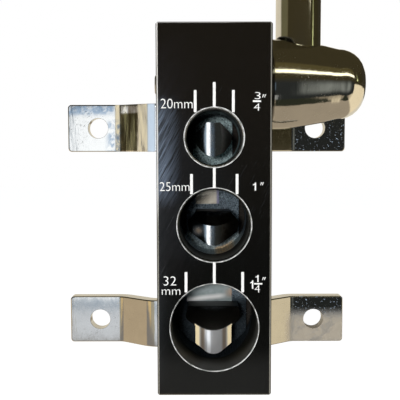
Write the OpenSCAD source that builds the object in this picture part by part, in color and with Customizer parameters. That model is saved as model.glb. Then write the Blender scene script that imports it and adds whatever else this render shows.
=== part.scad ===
// Three-hole tube notcher, bolted to a wall or post by the ears of two bent bars.
// A lever turns a cross shaft whose eccentric pin drives a vertical plunger.
// +Z is up, the ports face -Y and +X is to the right. The origin is the middle of the
// four ear holes, on the wall that the ears lie against. Millimetres and degrees.
// Shapes are drawn about the block's middle, and all but the bars then move block_offset to
// the right.

/* [Block] */
// Wall between the plunger's bore and each side of the block
side_wall = 6.3; // [6:0.1:14]
// Wall between the plunger's bore and the block's back
back_wall = 7.3; // [7:0.1:14]
// Chamfer on the block's edges
block_chamfer = 0.9; // [0.2:0.1:2]
// Distance of the block's middle to the right of the middle of the ear holes
block_offset = 2.8; // [0:0.1:3]

/* [Ports] */
// Bore for 20 mm pipe
port_20_d = 27.3; // [24:0.1:28]
// Bore for 25 mm pipe
port_25_d = 34.4; // [30:0.1:35]
// Bore for 32 mm pipe
port_32_d = 42.7; // [38:0.1:42.8]
// Height of the 32 mm port above the block's foot
port_32_height = 34; // [32:0.5:40]
// Distance from the 32 mm port up to the 25 mm one
port_32_to_25 = 50.5; // [46:0.5:54]
// Distance from the 25 mm port up to the 20 mm one
port_25_to_20 = 42.5; // [38:0.5:46]
// Distance from the 20 mm port up to the cross shaft's axis
port_20_to_shaft = 29; // [28.8:0.1:34]
// Where a port stops guiding its pipe, in front of the plunger's bore
port_guide_gap = 0.3; // [0.1:0.1:5]
// How much wider than its guide a port is behind it, for the swarf
port_relief = 0.25; // [0.1:0.05:0.25]
// Chamfer at the mouth of the 20 mm port
port_20_chamfer = 1.0; // [0.2:0.1:2]
// Chamfer at the mouth of the 25 mm port
port_25_chamfer = 1.1; // [0.2:0.1:2]
// Chamfer at the mouth of the 32 mm port
port_32_chamfer = 0.55; // [0.2:0.05:2]

/* [Plunger] */
// How much wider than the largest port the plunger's bore is
bore_extra = 0.7; // [0.6:0.1:2]
// Radial running gap of the plunger
plunger_gap = 0.08; // [0.05:0.01:0.15]
// Depth of the plunger's axis behind the front face
plunger_depth = 43; // [40:0.5:44]
// Width of the tang that holds the drive slot
tang_w = 24.8; // [20:0.2:24.8]
// Height of the tang's top above the shoulder
tang_rise = 31.7; // [30:0.1:33]
// How much wider than its port each recess in the plunger is
recess_extra = 0.4; // [0.35:0.05:0.5]
// Width of the deep slot at each side of a recess
side_slot_w = 3; // [1:0.1:3]
// How much deeper than the recess floor the side slots are
side_slot_depth = 4; // [1:0.5:6]
// Radius of the scoops milled above two of the punches
scoop_r = 12; // [11:0.5:14]
// Depth of the lower scoop in the recess floor
scoop_depth = 2; // [1:0.5:3]

/* [Punches] */
// Slope of the relief above the two larger punches
relief_angle = 50; // [40:1:60]
// Diameter of each punch's screw
punch_screw_d = 6; // [5:0.5:6]
// How far each screw reaches into its punch
punch_screw_grip = 10; // [6:0.5:11]
// Diameter of each punch's two dowels
dowel_d = 4; // [3:0.5:4]
// Length of a dowel
dowel_l = 12; // [8:1:14]

/* [Drive] */
// Distance of the cross shaft's axis below the block's top
shaft_drop = 26; // [25.5:0.1:30]
// Diameter of the main journal
journal_d = 26.2; // [26.2:0.1:26.6]
// Diameter of the tail journal
tail_d = 13; // [11:0.5:13]
// Diameter of the eccentric pin
pin_d = 13; // [12:0.5:13]
// Throw of the eccentric pin
throw_e = 6.5; // [6:0.1:6.5]
// Swing of the lever
swing = 100; // [80:5:100]
// Wall of the bush on the eccentric pin
pin_bush_wall = 1.8; // [1.4:0.1:1.9]
// Gap between that bush and the slot, above and below
slot_gap = 0.35; // [0.3:0.05:0.4]
// Radial running gap of the journals in their bushes
journal_gap = 0.06; // [0.03:0.01:0.1]
// Wall of the main bush
main_bush_wall = 2; // [1.5:0.1:2]
// Wall of the tail bush
tail_bush_wall = 3; // [2:0.5:3]
// Thickness of the main bush's flange
flange_t = 2.5; // [2:0.5:3.5]
// Radius of the main bush's flange
flange_r = 19.5; // [18:0.5:21]
// Thickness of the thrust washer
thrust_t = 2; // [1.5:0.1:3]
// Axial running gap at each side face
side_gap = 0.1; // [0.05:0.05:0.2]

/* [Lever] */
// Largest diameter of the hub
hub_d = 47.6; // [46:0.2:52]
// Length of the hub, from the face that runs on the thrust washer
hub_l = 48.9; // [46:0.1:60]
// Gap between the block and the skirt with which the hub covers the washer and flange
skirt_gap = 0.9; // [0.6:0.1:1.5]
// Diameter of the lever bar
bar_d = 24; // [20:0.5:24]
// Distance of the bar's axis from the hub's inner face
bar_offset = 13.2; // [13:0.1:16]
// Length of the lever from the shaft's axis to the tip of the grip
lever_l = 450; // [300:10:700]
// Diameter of the bar's threaded tail
tail_stud_d = 12; // [10:1:13]
// Length of the grip
grip_l = 125; // [80:5:160]
// Wall of the grip
grip_wall = 3.6; // [2.5:0.1:5]
// Number of grooves round the grip
grip_grooves = 9; // [4:1:12]

/* [Brackets] */
// Height of the flat bar
strap_h = 28; // [24:1:32]
// Thickness of the flat bar
strap_t = 8; // [6:0.5:9]
// How far the ears are set back from the raised middle
ear_setback = 12; // [11:0.5:12]
// Half the length of a bracket
strap_half_l = 83; // [80:1:100]
// Half the width of the raised middle
raised_half_w = 34; // [34:1:38]
// Sideways run of each ramp
ramp_run = 17.5; // [17:0.5:20]
// Corner radius at the ends of the ears
ear_corner_r = 2; // [1:0.5:8]
// Bend radius on the front of the bar
bend_r = 7; // [3:0.5:7]
// Spacing of the ear holes, side to side
ear_spacing_x = 130; // [126:1:140]
// Diameter of the ear holes
ear_hole_d = 12; // [8:0.5:14]
// Height of the lower bracket's middle above the block's foot
lower_bracket_height = 18; // [14:0.5:20]
// Distance of the upper bracket's middle below the block's top
upper_bracket_drop = 48; // [44:0.5:64]
// Distance of the bracket bolts from the block's sides
bolt_edge = 8; // [7.9:0.1:9]
// Diameter of the bracket bolts
bolt_d = 8; // [6:1:8]
// How far the bracket bolts reach into the block
bolt_grip = 11; // [10:0.5:11.5]
// Thickness of a bolt's lock washer
lock_washer_t = 1.6; // [1:0.1:2]

/* [Cap and key] */
// Thickness of the top cap
cap_t = 5; // [4:0.5:5.5]
// Rim of the top cap in front of the bore
cap_front_rim = 9.5; // [9:0.5:10]
// Distance of the top cap from the block's back
cap_back_rim = 4; // [3:0.5:4.5]
// Rim of the top cap at each side of the bore
cap_side_rim = 0.8; // [0.5:0.1:2]
// Gap round the top cap
cap_gap = 0.15; // [0.05:0.05:0.3]
// Diameter of the cap and key screws
small_screw_d = 4; // [3:0.5:4]
// Length of a cap screw
cap_screw_l = 12; // [9:0.5:16]
// Length of a key screw
key_screw_l = 6.5; // [5:0.5:6.5]
// Width of the guide key's nose
key_w = 8; // [6:0.5:10]
// Height of the guide key's nose
key_h = 16; // [12:1:18]
// How far the nose reaches into the bore
key_reach = 3.3; // [2:0.1:4]
// Width of the key's plate
key_plate_w = 16; // [14:0.5:20]
// Height of the key's plate
key_plate_h = 39.6; // [36:0.2:42]
// Thickness of the key's plate
key_plate_t = 3.5; // [3:0.1:3.6]

/* [Hidden] */
$fn = 96;
eps = 0.01;

// Frame of the block
port_20_height = port_32_height + port_32_to_25 + port_25_to_20;
shaft_height = port_20_height + port_20_to_shaft;
block_h = shaft_height + shaft_drop;
ear_spacing_z = block_h - upper_bracket_drop - lower_bracket_height;
foot_z = -ear_spacing_z / 2 - lower_bracket_height;
top_z = foot_z + block_h;
bore_d = port_32_d + bore_extra;
bore_r = bore_d / 2;
block_w = bore_d + 2 * side_wall;
block_d = plunger_depth + bore_r + back_wall;
side_x = block_w / 2;
back_y = -(strap_t + ear_setback);
front_y = back_y - block_d;
axis_y = front_y + plunger_depth;
shaft_z = foot_z + shaft_height;

// Ports, smallest first
port_r = [port_20_d, port_25_d, port_32_d] / 2;
port_z = foot_z * [1, 1, 1] + [port_20_height, port_32_height + port_32_to_25, port_32_height];
port_chamfer = [port_20_chamfer, port_25_chamfer, port_32_chamfer];

// Plunger
plunger_r = bore_r - plunger_gap;
foot_gap = 0.5;
shoulder_z = shaft_z - journal_d / 2 - 0.7;
recess_r = [for (r = port_r) r + recess_extra];
stroke = 2 * throw_e * sin(swing / 2);

// Eccentric drive: the pin starts half a swing above the level and ends half below
pin_r = pin_d / 2;
pin_y = axis_y - throw_e * cos(swing / 2);
pin_z = shaft_z + throw_e * sin(swing / 2);
tang_gap = 0.8;
pin_x = tang_w / 2 + tang_gap;
pin_bush_r = pin_r + pin_bush_wall;
slot_r = pin_bush_r + slot_gap;
slot_front_y = axis_y - throw_e;
slot_back_y = pin_y;

// Stack of pieces along the shaft
main_bush_r = journal_d / 2 + journal_gap + main_bush_wall;
tail_bush_r = tail_d / 2 + journal_gap + tail_bush_wall;
end_washer_t = 2.2;
end_washer_r = 10.5;
end_recess = end_washer_t + 2 * side_gap;
end_screw_d = 6;
end_screw_l = 12;
flange_x = side_x + flange_t;
hub_x = flange_x + thrust_t + 2 * side_gap;
bar_x = hub_x + bar_offset;
shaft_end_x = bar_x + tail_stud_d / 2 + 11;
bar_r = bar_d / 2;
fit = 0.03;
socket_r0 = journal_d / 2 + 3;
skirt_x = side_x + skirt_gap;
skirt_r = flange_r + 1.7;
stud_end = 19;
lock_screw_d = 6;
lock_screw_x = bar_x + tail_stud_d / 2 + 5;
lock_screw_l = 6;
lever_top_z = shaft_z + lever_l;
grip_r = bar_r + grip_wall;
grip_cap = 5;

// Punches: lowest and highest level, from each port's axis, and the front edge of the relief
punch_low = [-9.5, -13, -19.3];
punch_high = [8, 4.5, 4];
relief_z = [8, -2.6, -7.1];
punch_screw_z = port_z + (punch_low + punch_high) / 2;
punch_half_w = [10.1, 13.4, 14.6];
punch_nose_r = [6, 7, 7];
// Right-hand points of each outline, top first: shares of its half width, and of its height
// above the port's axis or its depth below it
punch_points = [
    [[0.34, 1], [0.92, 0.28], [1, 0.03], [0.89, -0.29], [0.61, -0.7]],
    [[0.67, 1], [0.985, -0.04], [1, -0.17], [0.925, -0.46]],
    [[0.925, 1], [1, -0.04], [0.93, -0.135], [0.644, -0.25], [0.644, -0.725]]
];
dowel_x = [6, 8, 6.5];
scoop_half_w = [0, 6.4, 12.4];
scoop_middle = [0, -2.9, -1.8];
scoop_level = [0, 12.3, 10];
scoop_share = [0, 0.7, 1];
punch_head_r = 5.2;
punch_head_h = 6;
punch_seat_y = axis_y + plunger_r - punch_head_h - 1.5;
punch_screw_l = punch_seat_y - axis_y + punch_screw_grip;

// Key and cap
key_z = (punch_screw_z[1] + punch_screw_z[2]) / 2;
key_gap = 0.15;
key_floor_y = back_y - key_plate_t;
key_screw_dz = key_plate_h / 2 - 4.8;
cap_w = bore_d + 2 * cap_side_rim;
cap_front_y = axis_y - bore_r - cap_front_rim;
cap_back_y = back_y - cap_back_rim;
cap_screw_in = 4.2;
cap_corner_r = 4;

// Brackets, lowest first
bolt_gap = 0.4;
bolt_x = side_x - bolt_edge;
bracket_z = [-ear_spacing_z / 2, ear_spacing_z / 2];

// ---- Shapes that repeat ----

// Cylinder along X, its axis through (y, z)
module bar_along_x(x0, x1, r, y, z) {
    translate([x0, y, z]) rotate([0, 90, 0]) cylinder(h = x1 - x0, r = r);
}

// Cylinder along Y, its axis through (x, z)
module bar_along_y(y0, y1, r, x, z) {
    translate([x, y1, z]) rotate([90, 0, 0]) cylinder(h = y1 - y0, r = r);
}

// Ring along X
module ring_along_x(x0, x1, r_in, r_out, y, z) {
    difference() {
        bar_along_x(x0, x1, r_out, y, z);
        bar_along_x(x0 - 1, x1 + 1, r_in, y, z);
    }
}

// Points of a circular arc
function arc(cx, cy, r, a0, a1, n = 6) =
    [for (i = [0 : n]) let (a = a0 + (a1 - a0) * i / n) [cx + r * cos(a), cy + r * sin(a)]];

// Rectangle with cut corners, as a plane outline
module cut_rectangle(x0, x1, y0, y1, c) {
    polygon([[x0 + c, y0], [x1 - c, y0], [x1, y0 + c], [x1, y1 - c],
             [x1 - c, y1], [x0 + c, y1], [x0, y1 - c], [x0, y0 + c]]);
}

// Rectangle with round corners, as a plane outline
module round_rectangle(x0, x1, y0, y1, r) {
    polygon(concat(arc(x1 - r, y1 - r, r, 0, 90), arc(x0 + r, y1 - r, r, 90, 180),
                   arc(x0 + r, y0 + r, r, 180, 270), arc(x1 - r, y0 + r, r, 270, 360)));
}

// Socket head screw along Z: the head stands on z = 0 and the shank hangs below it
module socket_screw(d, l, head_r, head_h) {
    difference() {
        union() {
            translate([0, 0, -l]) cylinder(h = l + eps, r = d / 2);
            rotate_extrude()
                polygon([[0, 0], [head_r, 0], [head_r, head_h - 0.6], [head_r - 0.6, head_h],
                         [0, head_h]]);
        }
        translate([0, 0, head_h * 0.45]) cylinder(h = head_h, r = d * 0.45, $fn = 6);
    }
}

// Countersunk screw along Z, its flat head flush with z = 0
module flush_screw(d, l) {
    difference() {
        rotate_extrude()
            polygon([[0, 0], [d * 0.95, 0], [d * 0.95, -0.4], [d / 2, -0.4 - d * 0.45],
                     [d / 2, -l], [0, -l]]);
        translate([0, 0, -d * 0.4]) cylinder(h = d, r = d * 0.33, $fn = 6);
    }
}

// Hole that a countersunk screw sits in
module flush_screw_hole(d, l) {
    rotate_extrude()
        polygon([[0, 1], [d * 0.95 + fit, 1], [d * 0.95 + fit, -0.4],
                 [d / 2 + fit, -0.4 - d * 0.45], [d / 2 + fit, -l - 0.3], [0, -l - 0.3]]);
}

// Puts its children, modelled along +Z, along +Y at a back face
module facing_back(x, y, z) {
    translate([x, y, z]) rotate([-90, 0, 0]) children();
}

// Moves the block, and all that it carries, to the right of the middle of the ear holes
module beside() {
    translate([block_offset, 0, 0]) children();
}

module at_cap_screws() {
    for (x = [-1, 1] * (cap_w / 2 - cap_screw_in), y = [cap_front_y + cap_screw_in,
                                                        cap_back_y - cap_screw_in])
        translate([x, y, top_z]) children();
}

module at_key_screws() {
    for (dz = [-1, 1] * key_screw_dz) facing_back(0, back_y, key_z + dz) children();
}

// ---- Block and what is fixed to it ----

module block_blank() {
    c = block_chamfer;
    intersection() {
        translate([0, 0, foot_z]) linear_extrude(block_h)
            cut_rectangle(-side_x, side_x, front_y, back_y, c);
        translate([-side_x, 0, 0]) rotate([90, 0, 90]) linear_extrude(block_w)
            cut_rectangle(front_y, back_y, foot_z, top_z, c);
        translate([0, back_y, 0]) rotate([90, 0, 0]) linear_extrude(block_d)
            cut_rectangle(-side_x, side_x, foot_z, top_z, c);
    }
}

module port_cut(i) {
    guide_end_y = axis_y - bore_r - port_guide_gap;
    bar_along_y(front_y - 1, guide_end_y + eps, port_r[i], 0, port_z[i]);
    bar_along_y(guide_end_y, axis_y, port_r[i] + port_relief, 0, port_z[i]);
    translate([0, front_y, port_z[i]]) rotate([-90, 0, 0])
        cylinder(h = port_chamfer[i], r1 = port_r[i] + port_chamfer[i], r2 = port_r[i]);
}

module cap_outline(gap) {
    round_rectangle(-cap_w / 2 + gap, cap_w / 2 - gap, cap_front_y + gap, cap_back_y - gap,
                    cap_corner_r - gap);
}

module key_plate_outline(gap) {
    round_rectangle(-key_plate_w / 2 + gap, key_plate_w / 2 - gap,
                    key_z - key_plate_h / 2 + gap, key_z + key_plate_h / 2 - gap, 3 - gap);
}

module body_block() {
    color("#171719") difference() {
        block_blank();
        translate([0, axis_y, foot_z - 1]) cylinder(h = block_h + 2, r = bore_r);
        for (i = [0 : 2]) port_cut(i);
        // Seat of the cap and its screws
        translate([0, 0, top_z - cap_t]) linear_extrude(cap_t + 1) cap_outline(0);
        at_cap_screws() flush_screw_hole(small_screw_d, cap_screw_l);
        // Bushes, and the recess of the washer at the shaft's tail
        bar_along_x(0, side_x + 1, main_bush_r, axis_y, shaft_z);
        bar_along_x(-side_x - 1, 0, tail_bush_r, axis_y, shaft_z);
        bar_along_x(-side_x - 1, -side_x + end_recess, end_washer_r + 0.5, axis_y, shaft_z);
        // Pocket and window of the guide key
        translate([0, back_y + 1, 0]) rotate([90, 0, 0]) linear_extrude(key_plate_t + 1)
            key_plate_outline(0);
        translate([-key_w / 2, axis_y, key_z - key_h / 2]) cube([key_w, -axis_y, key_h]);
        at_key_screws() flush_screw_hole(small_screw_d, key_screw_l);
        // Tapped holes of the bracket bolts
        for (x = [-1, 1] * bolt_x, z = bracket_z)
            bar_along_y(back_y - bolt_grip - 1, back_y + 1, bolt_d / 2, x, z);
    }
}

module top_cap() {
    color("#1c1c1e") difference() {
        translate([0, 0, top_z - cap_t]) linear_extrude(cap_t) cap_outline(cap_gap);
        at_cap_screws() flush_screw_hole(small_screw_d, cap_screw_l);
    }
}

module cap_screws() {
    color("#8d9095") at_cap_screws() flush_screw(small_screw_d, cap_screw_l);
}

// Flanged bush in the right wall
module main_bush() {
    r_in = journal_d / 2 + journal_gap;
    color("#a9834a") difference() {
        union() {
            bar_along_x(bore_r + 0.1, flange_x, main_bush_r, axis_y, shaft_z);
            bar_along_x(side_x, flange_x, flange_r, axis_y, shaft_z);
        }
        bar_along_x(0, flange_x + 1, r_in, axis_y, shaft_z);
    }
}

module tail_bush() {
    color("#a9834a")
        ring_along_x(-side_x + end_recess, -pin_x - side_gap, tail_d / 2 + journal_gap,
                     tail_bush_r, axis_y, shaft_z);
}

module thrust_washer() {
    color("#a9834a")
        ring_along_x(flange_x + side_gap / 2, flange_x + side_gap / 2 + thrust_t,
                     journal_d / 2 + journal_gap, flange_r + 1, axis_y, shaft_z);
}

// Keeps the plunger from turning: a plate let into the back, with a nose in the keyway
module guide_key() {
    g = key_gap;
    nose_y = axis_y + bore_r - key_reach;
    color("#8d9095") difference() {
        union() {
            translate([0, back_y, 0]) rotate([90, 0, 0]) linear_extrude(key_plate_t)
                key_plate_outline(g);
            translate([-key_w / 2 + g, nose_y, key_z - key_h / 2 + g])
                cube([key_w - 2 * g, back_y - nose_y - 1, key_h - 2 * g]);
        }
        at_key_screws() flush_screw_hole(small_screw_d, key_screw_l);
    }
}

module key_screws() {
    color("#8d9095") at_key_screws() flush_screw(small_screw_d, key_screw_l);
}

// ---- Brackets ----

// Half of the bent bar's plan, to the right of the middle: front line out, back line home
function half_plan() =
    let (a = atan2(ear_setback, ramp_run), r = bend_r, ro = bend_r + strap_t,
         cx1 = raised_half_w - ro * tan(a / 2), cy1 = back_y + ro,
         cx2 = raised_half_w + ramp_run + r * tan(a / 2), cy2 = -ro)
    concat([[0, back_y]], arc(cx1, cy1, ro, -90, a - 90), arc(cx2, cy2, r, 90 + a, 90),
           [[strap_half_l, -strap_t], [strap_half_l, 0]],
           arc(cx2, cy2, ro, 90, 90 + a), arc(cx1, cy1, r, a - 90, -90),
           [[0, back_y + strap_t]]);

// Whole plan: the right half and its mirror image, taken round the other way
function bracket_plan() =
    let (h = half_plan(), n = len(h) - 1)
    concat(h, [for (i = [n : -1 : 0]) [-h[i][0], h[i][1]]]);

module bracket(z) {
    color("#c9c7c0") difference() {
        intersection() {
            translate([0, 0, z - strap_h / 2]) linear_extrude(strap_h)
                polygon(bracket_plan());
            translate([0, 1, 0]) rotate([90, 0, 0]) linear_extrude(2 - back_y)
                round_rectangle(-strap_half_l, strap_half_l, z - strap_h / 2,
                                z + strap_h / 2, ear_corner_r);
        }
        for (x = [-1, 1] * ear_spacing_x / 2)
            bar_along_y(-strap_t - 1, 1, ear_hole_d / 2, x, z);
        for (x = [-1, 1] * bolt_x)
            bar_along_y(back_y - 1, back_y + strap_t + 1, bolt_d / 2 + bolt_gap,
                        block_offset + x, z);
    }
}

module upper_bracket() { bracket(bracket_z[1]); }

module lower_bracket() { bracket(bracket_z[0]); }

module bracket_bolts() {
    seat_y = back_y + strap_t + lock_washer_t;
    color("#8d9095") for (x = [-1, 1] * bolt_x, z = bracket_z)
        facing_back(x, seat_y, z)
            socket_screw(bolt_d, bolt_grip + strap_t + lock_washer_t, bolt_d * 0.8, bolt_d * 0.95);
}

module bracket_washers() {
    color("#8d9095") for (x = [-1, 1] * bolt_x, z = bracket_z)
        difference() {
            bar_along_y(back_y + strap_t, back_y + strap_t + lock_washer_t, bolt_d * 0.8, x, z);
            bar_along_y(back_y, 0, bolt_d / 2 + bolt_gap / 2, x, z);
        }
}

// ---- Lever and shaft ----

module cross_shaft() {
    color("#9a9ca0") difference() {
        union() {
            bar_along_x(pin_x, shaft_end_x, journal_d / 2, axis_y, shaft_z);
            bar_along_x(-pin_x, pin_x + 1, pin_r, pin_y, pin_z);
            bar_along_x(-side_x + end_recess - side_gap, -pin_x + eps, tail_d / 2, axis_y, shaft_z);
        }
        // Cross hole of the lever bar's tail, and the thread of the end screw
        translate([bar_x, axis_y, shaft_z - journal_d]) cylinder(h = 2 * journal_d,
                                                                 r = tail_stud_d / 2 + fit);
        bar_along_x(-side_x - 1, -side_x + end_screw_l + 1, end_screw_d / 2, axis_y, shaft_z);
    }
}

// Bronze bush on the eccentric pin
module pin_bush() {
    color("#a9834a")
        ring_along_x(-tang_w / 2, tang_w / 2, pin_r + fit, pin_bush_r, pin_y, pin_z);
}

// Outline of half the hub, turned about the shaft: x along the axis, y the radius. It starts
// with the skirt, whose inside clears the thrust washer.
function hub_outline() =
    let (r = hub_d / 2, s = skirt_x - hub_x)
    concat([[0, 0], [0, skirt_r], [s, skirt_r], [s, r - 1.3], [s + 0.4, r - 0.6],
            [s + 1.2, r - 0.1], [s + 3, r], [4.4, r], [10.9, r - 0.6], [18.4, r - 1.8],
            [26.9, r - 3.3], [34.4, r - 5.1]],
           [for (i = [1 : 8]) let (a = 90 * i / 8)
               [34.4 + (hub_l - 34.4) * sin(a), (r - 5.1) * pow(cos(a), 0.72)]]);

module hub() {
    color("#c9c7c0") difference() {
        translate([hub_x, axis_y, shaft_z]) rotate([0, 90, 0]) rotate_extrude()
            polygon([for (p = hub_outline()) [p[1], p[0]]]);
        bar_along_x(hub_x - 1, shaft_end_x + 0.5, journal_d / 2 + fit, axis_y, shaft_z);
        translate([bar_x, axis_y, shaft_z + socket_r0]) cylinder(h = hub_d, r = bar_r + fit);
        translate([bar_x, axis_y, shaft_z - stud_end - 0.5])
            cylinder(h = stud_end + hub_d, r = tail_stud_d / 2 + fit);
        bar_along_y(axis_y, axis_y + hub_d, lock_screw_d / 2 + fit, lock_screw_x, shaft_z);
    }
}

module hub_lock_screw() {
    y0 = axis_y + journal_d / 2;
    color("#2a2a2c") difference() {
        bar_along_y(y0, y0 + lock_screw_l, lock_screw_d / 2, lock_screw_x, shaft_z);
        facing_back(lock_screw_x, y0 + lock_screw_l - 3, shaft_z)
            cylinder(h = 4, r = lock_screw_d * 0.28, $fn = 6);
    }
}

module lever_bar() {
    bar_top = lever_top_z - grip_cap;
    color("#c9c7c0") translate([bar_x, axis_y, 0]) {
        translate([0, 0, shaft_z + socket_r0])
            cylinder(h = bar_top - shaft_z - socket_r0, r = bar_r);
        translate([0, 0, shaft_z - stud_end])
            cylinder(h = stud_end + socket_r0 + eps, r = tail_stud_d / 2);
    }
}

// Grip with grooves: its outline runs up the outside from the mouth
module lever_grip() {
    r = grip_r;
    pitch = (grip_l - 30) / grip_grooves;
    grooves = [for (i = [0 : grip_grooves - 1]) let (z = 12 + pitch * i)
        each [[r, z], [r - 0.9, z + 1], [r - 0.9, z + 3], [r, z + 4]]];
    color("#161616") translate([bar_x, axis_y, lever_top_z - grip_l]) difference() {
        rotate_extrude() polygon(concat(
            [[0, 0], [r, 0], [r + 1.6, 1.2], [r + 1.6, 4.5], [r, 6]], grooves,
            [for (i = [0 : 8]) let (a = 90 * i / 8)
                [r - 6 + 6 * cos(a), grip_l - 6 + 6 * sin(a)]],
            [[0, grip_l]]));
        translate([0, 0, -1]) cylinder(h = grip_l - grip_cap + 1, r = bar_r);
    }
}

// Washer and screw that keep the shaft from sliding out
module end_washer() {
    color("#8d9095")
        ring_along_x(-side_x + side_gap / 2, -side_x + side_gap / 2 + end_washer_t,
                     end_screw_d / 2 + fit, end_washer_r, axis_y, shaft_z);
}

module end_screw() {
    color("#8d9095") translate([-side_x + side_gap / 2, axis_y, shaft_z]) rotate([0, -90, 0])
        socket_screw(end_screw_d, end_screw_l, 5.2, 3);
}

// ---- Plunger and punches ----

module recess_cut(i) {
    pad = port_r[i] - side_slot_w;
    bar_along_y(front_y, axis_y, recess_r[i], 0, port_z[i]);
    difference() {
        bar_along_y(front_y, axis_y + side_slot_depth, recess_r[i], 0, port_z[i]);
        translate([-pad, front_y, port_z[i] - bore_d]) cube([2 * pad, block_d, 2 * bore_d]);
    }
    if (scoop_share[i] > 0)
        bar_along_x(scoop_middle[i] - scoop_half_w[i], scoop_middle[i] + scoop_half_w[i], scoop_r,
                    axis_y - scoop_r + scoop_depth * scoop_share[i], port_z[i] + scoop_level[i]);
}

module punch_screw_at(i) {
    facing_back(0, punch_seat_y, punch_screw_z[i]) children();
}

module plunger() {
    keyway_y = axis_y + bore_r - key_reach - 0.3;
    color("#23262b") difference() {
        union() {
            translate([0, axis_y, foot_z + foot_gap])
                cylinder(h = shoulder_z - foot_z - foot_gap, r = plunger_r);
            intersection() {
                translate([0, axis_y, shoulder_z - 1])
                    cylinder(h = tang_rise + 1, r = plunger_r);
                translate([-tang_w / 2, axis_y - bore_d, shoulder_z - 1])
                    cube([tang_w, 2 * bore_d, tang_rise + 1]);
            }
        }
        for (i = [0 : 2]) recess_cut(i);
        // Slot that the eccentric pin's bush slides in
        for (y = [slot_front_y, slot_back_y])
            bar_along_x(-tang_w, tang_w, slot_r, y, pin_z);
        translate([-tang_w, slot_front_y, pin_z - slot_r])
            cube([2 * tang_w, slot_back_y - slot_front_y, 2 * slot_r]);
        // Keyway, long enough for the stroke
        translate([-key_w / 2, keyway_y, key_z - key_h / 2 - 0.3])
            cube([key_w, bore_r, key_h + stroke + 1]);
        // Screws and dowels of the punches
        for (i = [0 : 2]) {
            punch_screw_at(i) cylinder(h = bore_d, r = punch_head_r + 0.2);
            punch_screw_at(i) translate([0, 0, -bore_d])
                cylinder(h = bore_d + 1, r = punch_screw_d / 2 + fit);
            for (x = [-1, 1] * dowel_x[i])
                bar_along_y(axis_y - 1, axis_y + dowel_l / 2, dowel_d / 2, x, punch_screw_z[i]);
        }
    }
}

// Outline of a punch, seen from the front, about its port's axis: down the right, round the
// nose and up the left
module punch_outline(i) {
    right = [for (p = punch_points[i])
        [p[0] * punch_half_w[i], p[1] * (p[1] > 0 ? punch_high[i] : -punch_low[i])]];
    n = len(right) - 1;
    polygon(concat(right, arc(0, punch_low[i] + punch_nose_r[i], punch_nose_r[i], 305, 235),
                   [for (k = [n : -1 : 0]) [-right[k][0], right[k][1]]]));
}

module punch(i) {
    color("#b9bcc0") difference() {
        intersection() {
            translate([0, axis_y, port_z[i]]) rotate([90, 0, 0]) linear_extrude(bore_d)
                punch_outline(i);
            translate([0, axis_y, port_z[i] - bore_d]) cylinder(h = 2 * bore_d, r = plunger_r);
        }
        // Relief that slopes up and back from the front edge
        if (relief_z[i] < punch_high[i])
            translate([0, axis_y - plunger_r, port_z[i] + relief_z[i]])
                rotate([relief_angle, 0, 0]) translate([-bore_d, -bore_r, 0])
                    cube([2 * bore_d, 2 * bore_d, bore_d]);
        punch_screw_at(i) translate([0, 0, -punch_screw_l - 1])
            cylinder(h = punch_screw_l, r = punch_screw_d / 2);
        for (x = [-1, 1] * dowel_x[i])
            bar_along_y(axis_y - dowel_l / 2, axis_y + 1, dowel_d / 2, x, punch_screw_z[i]);
    }
}

module punch_20() { punch(0); }

module punch_25() { punch(1); }

module punch_32() { punch(2); }

module punch_screws() {
    color("#8d9095") for (i = [0 : 2]) punch_screw_at(i)
        socket_screw(punch_screw_d, punch_screw_l, punch_head_r, punch_head_h);
}

module punch_dowels() {
    color("#8d9095") for (i = [0 : 2], x = [-1, 1] * dowel_x[i])
        bar_along_y(axis_y - dowel_l / 2, axis_y + dowel_l / 2, dowel_d / 2, x, punch_screw_z[i]);
}

beside() body_block();
beside() top_cap();
beside() cap_screws();
beside() main_bush();
beside() tail_bush();
beside() thrust_washer();
beside() guide_key();
beside() key_screws();
upper_bracket();
lower_bracket();
beside() bracket_bolts();
beside() bracket_washers();
beside() cross_shaft();
beside() pin_bush();
beside() hub();
beside() hub_lock_screw();
beside() lever_bar();
beside() lever_grip();
beside() end_washer();
beside() end_screw();
beside() plunger();
beside() punch_20();
beside() punch_25();
beside() punch_32();
beside() punch_screws();
beside() punch_dowels();
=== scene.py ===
"""Three-hole tube notcher: finishes, painted size marks and softened bracket edges.

Everything is in metres in the row's frame: the wall is y = 0, the ports face -Y and +Z is up.
Patterns in the finishes are written in millimetres, so their numbers can be read off a rule.
"""
import math

import bmesh
import bpy
import numpy as np
from mathutils import Matrix


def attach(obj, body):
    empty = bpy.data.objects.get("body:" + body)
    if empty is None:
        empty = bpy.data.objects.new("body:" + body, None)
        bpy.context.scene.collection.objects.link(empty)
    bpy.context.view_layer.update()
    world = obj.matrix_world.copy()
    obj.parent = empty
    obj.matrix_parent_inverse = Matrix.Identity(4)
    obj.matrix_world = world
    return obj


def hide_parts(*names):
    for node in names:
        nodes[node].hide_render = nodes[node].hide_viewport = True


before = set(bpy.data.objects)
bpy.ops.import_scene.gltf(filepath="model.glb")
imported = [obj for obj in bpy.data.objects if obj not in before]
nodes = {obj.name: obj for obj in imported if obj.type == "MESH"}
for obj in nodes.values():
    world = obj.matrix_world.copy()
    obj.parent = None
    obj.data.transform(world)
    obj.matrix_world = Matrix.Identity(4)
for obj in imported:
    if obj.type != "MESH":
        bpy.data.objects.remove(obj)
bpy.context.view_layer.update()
MM = 0.001

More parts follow.
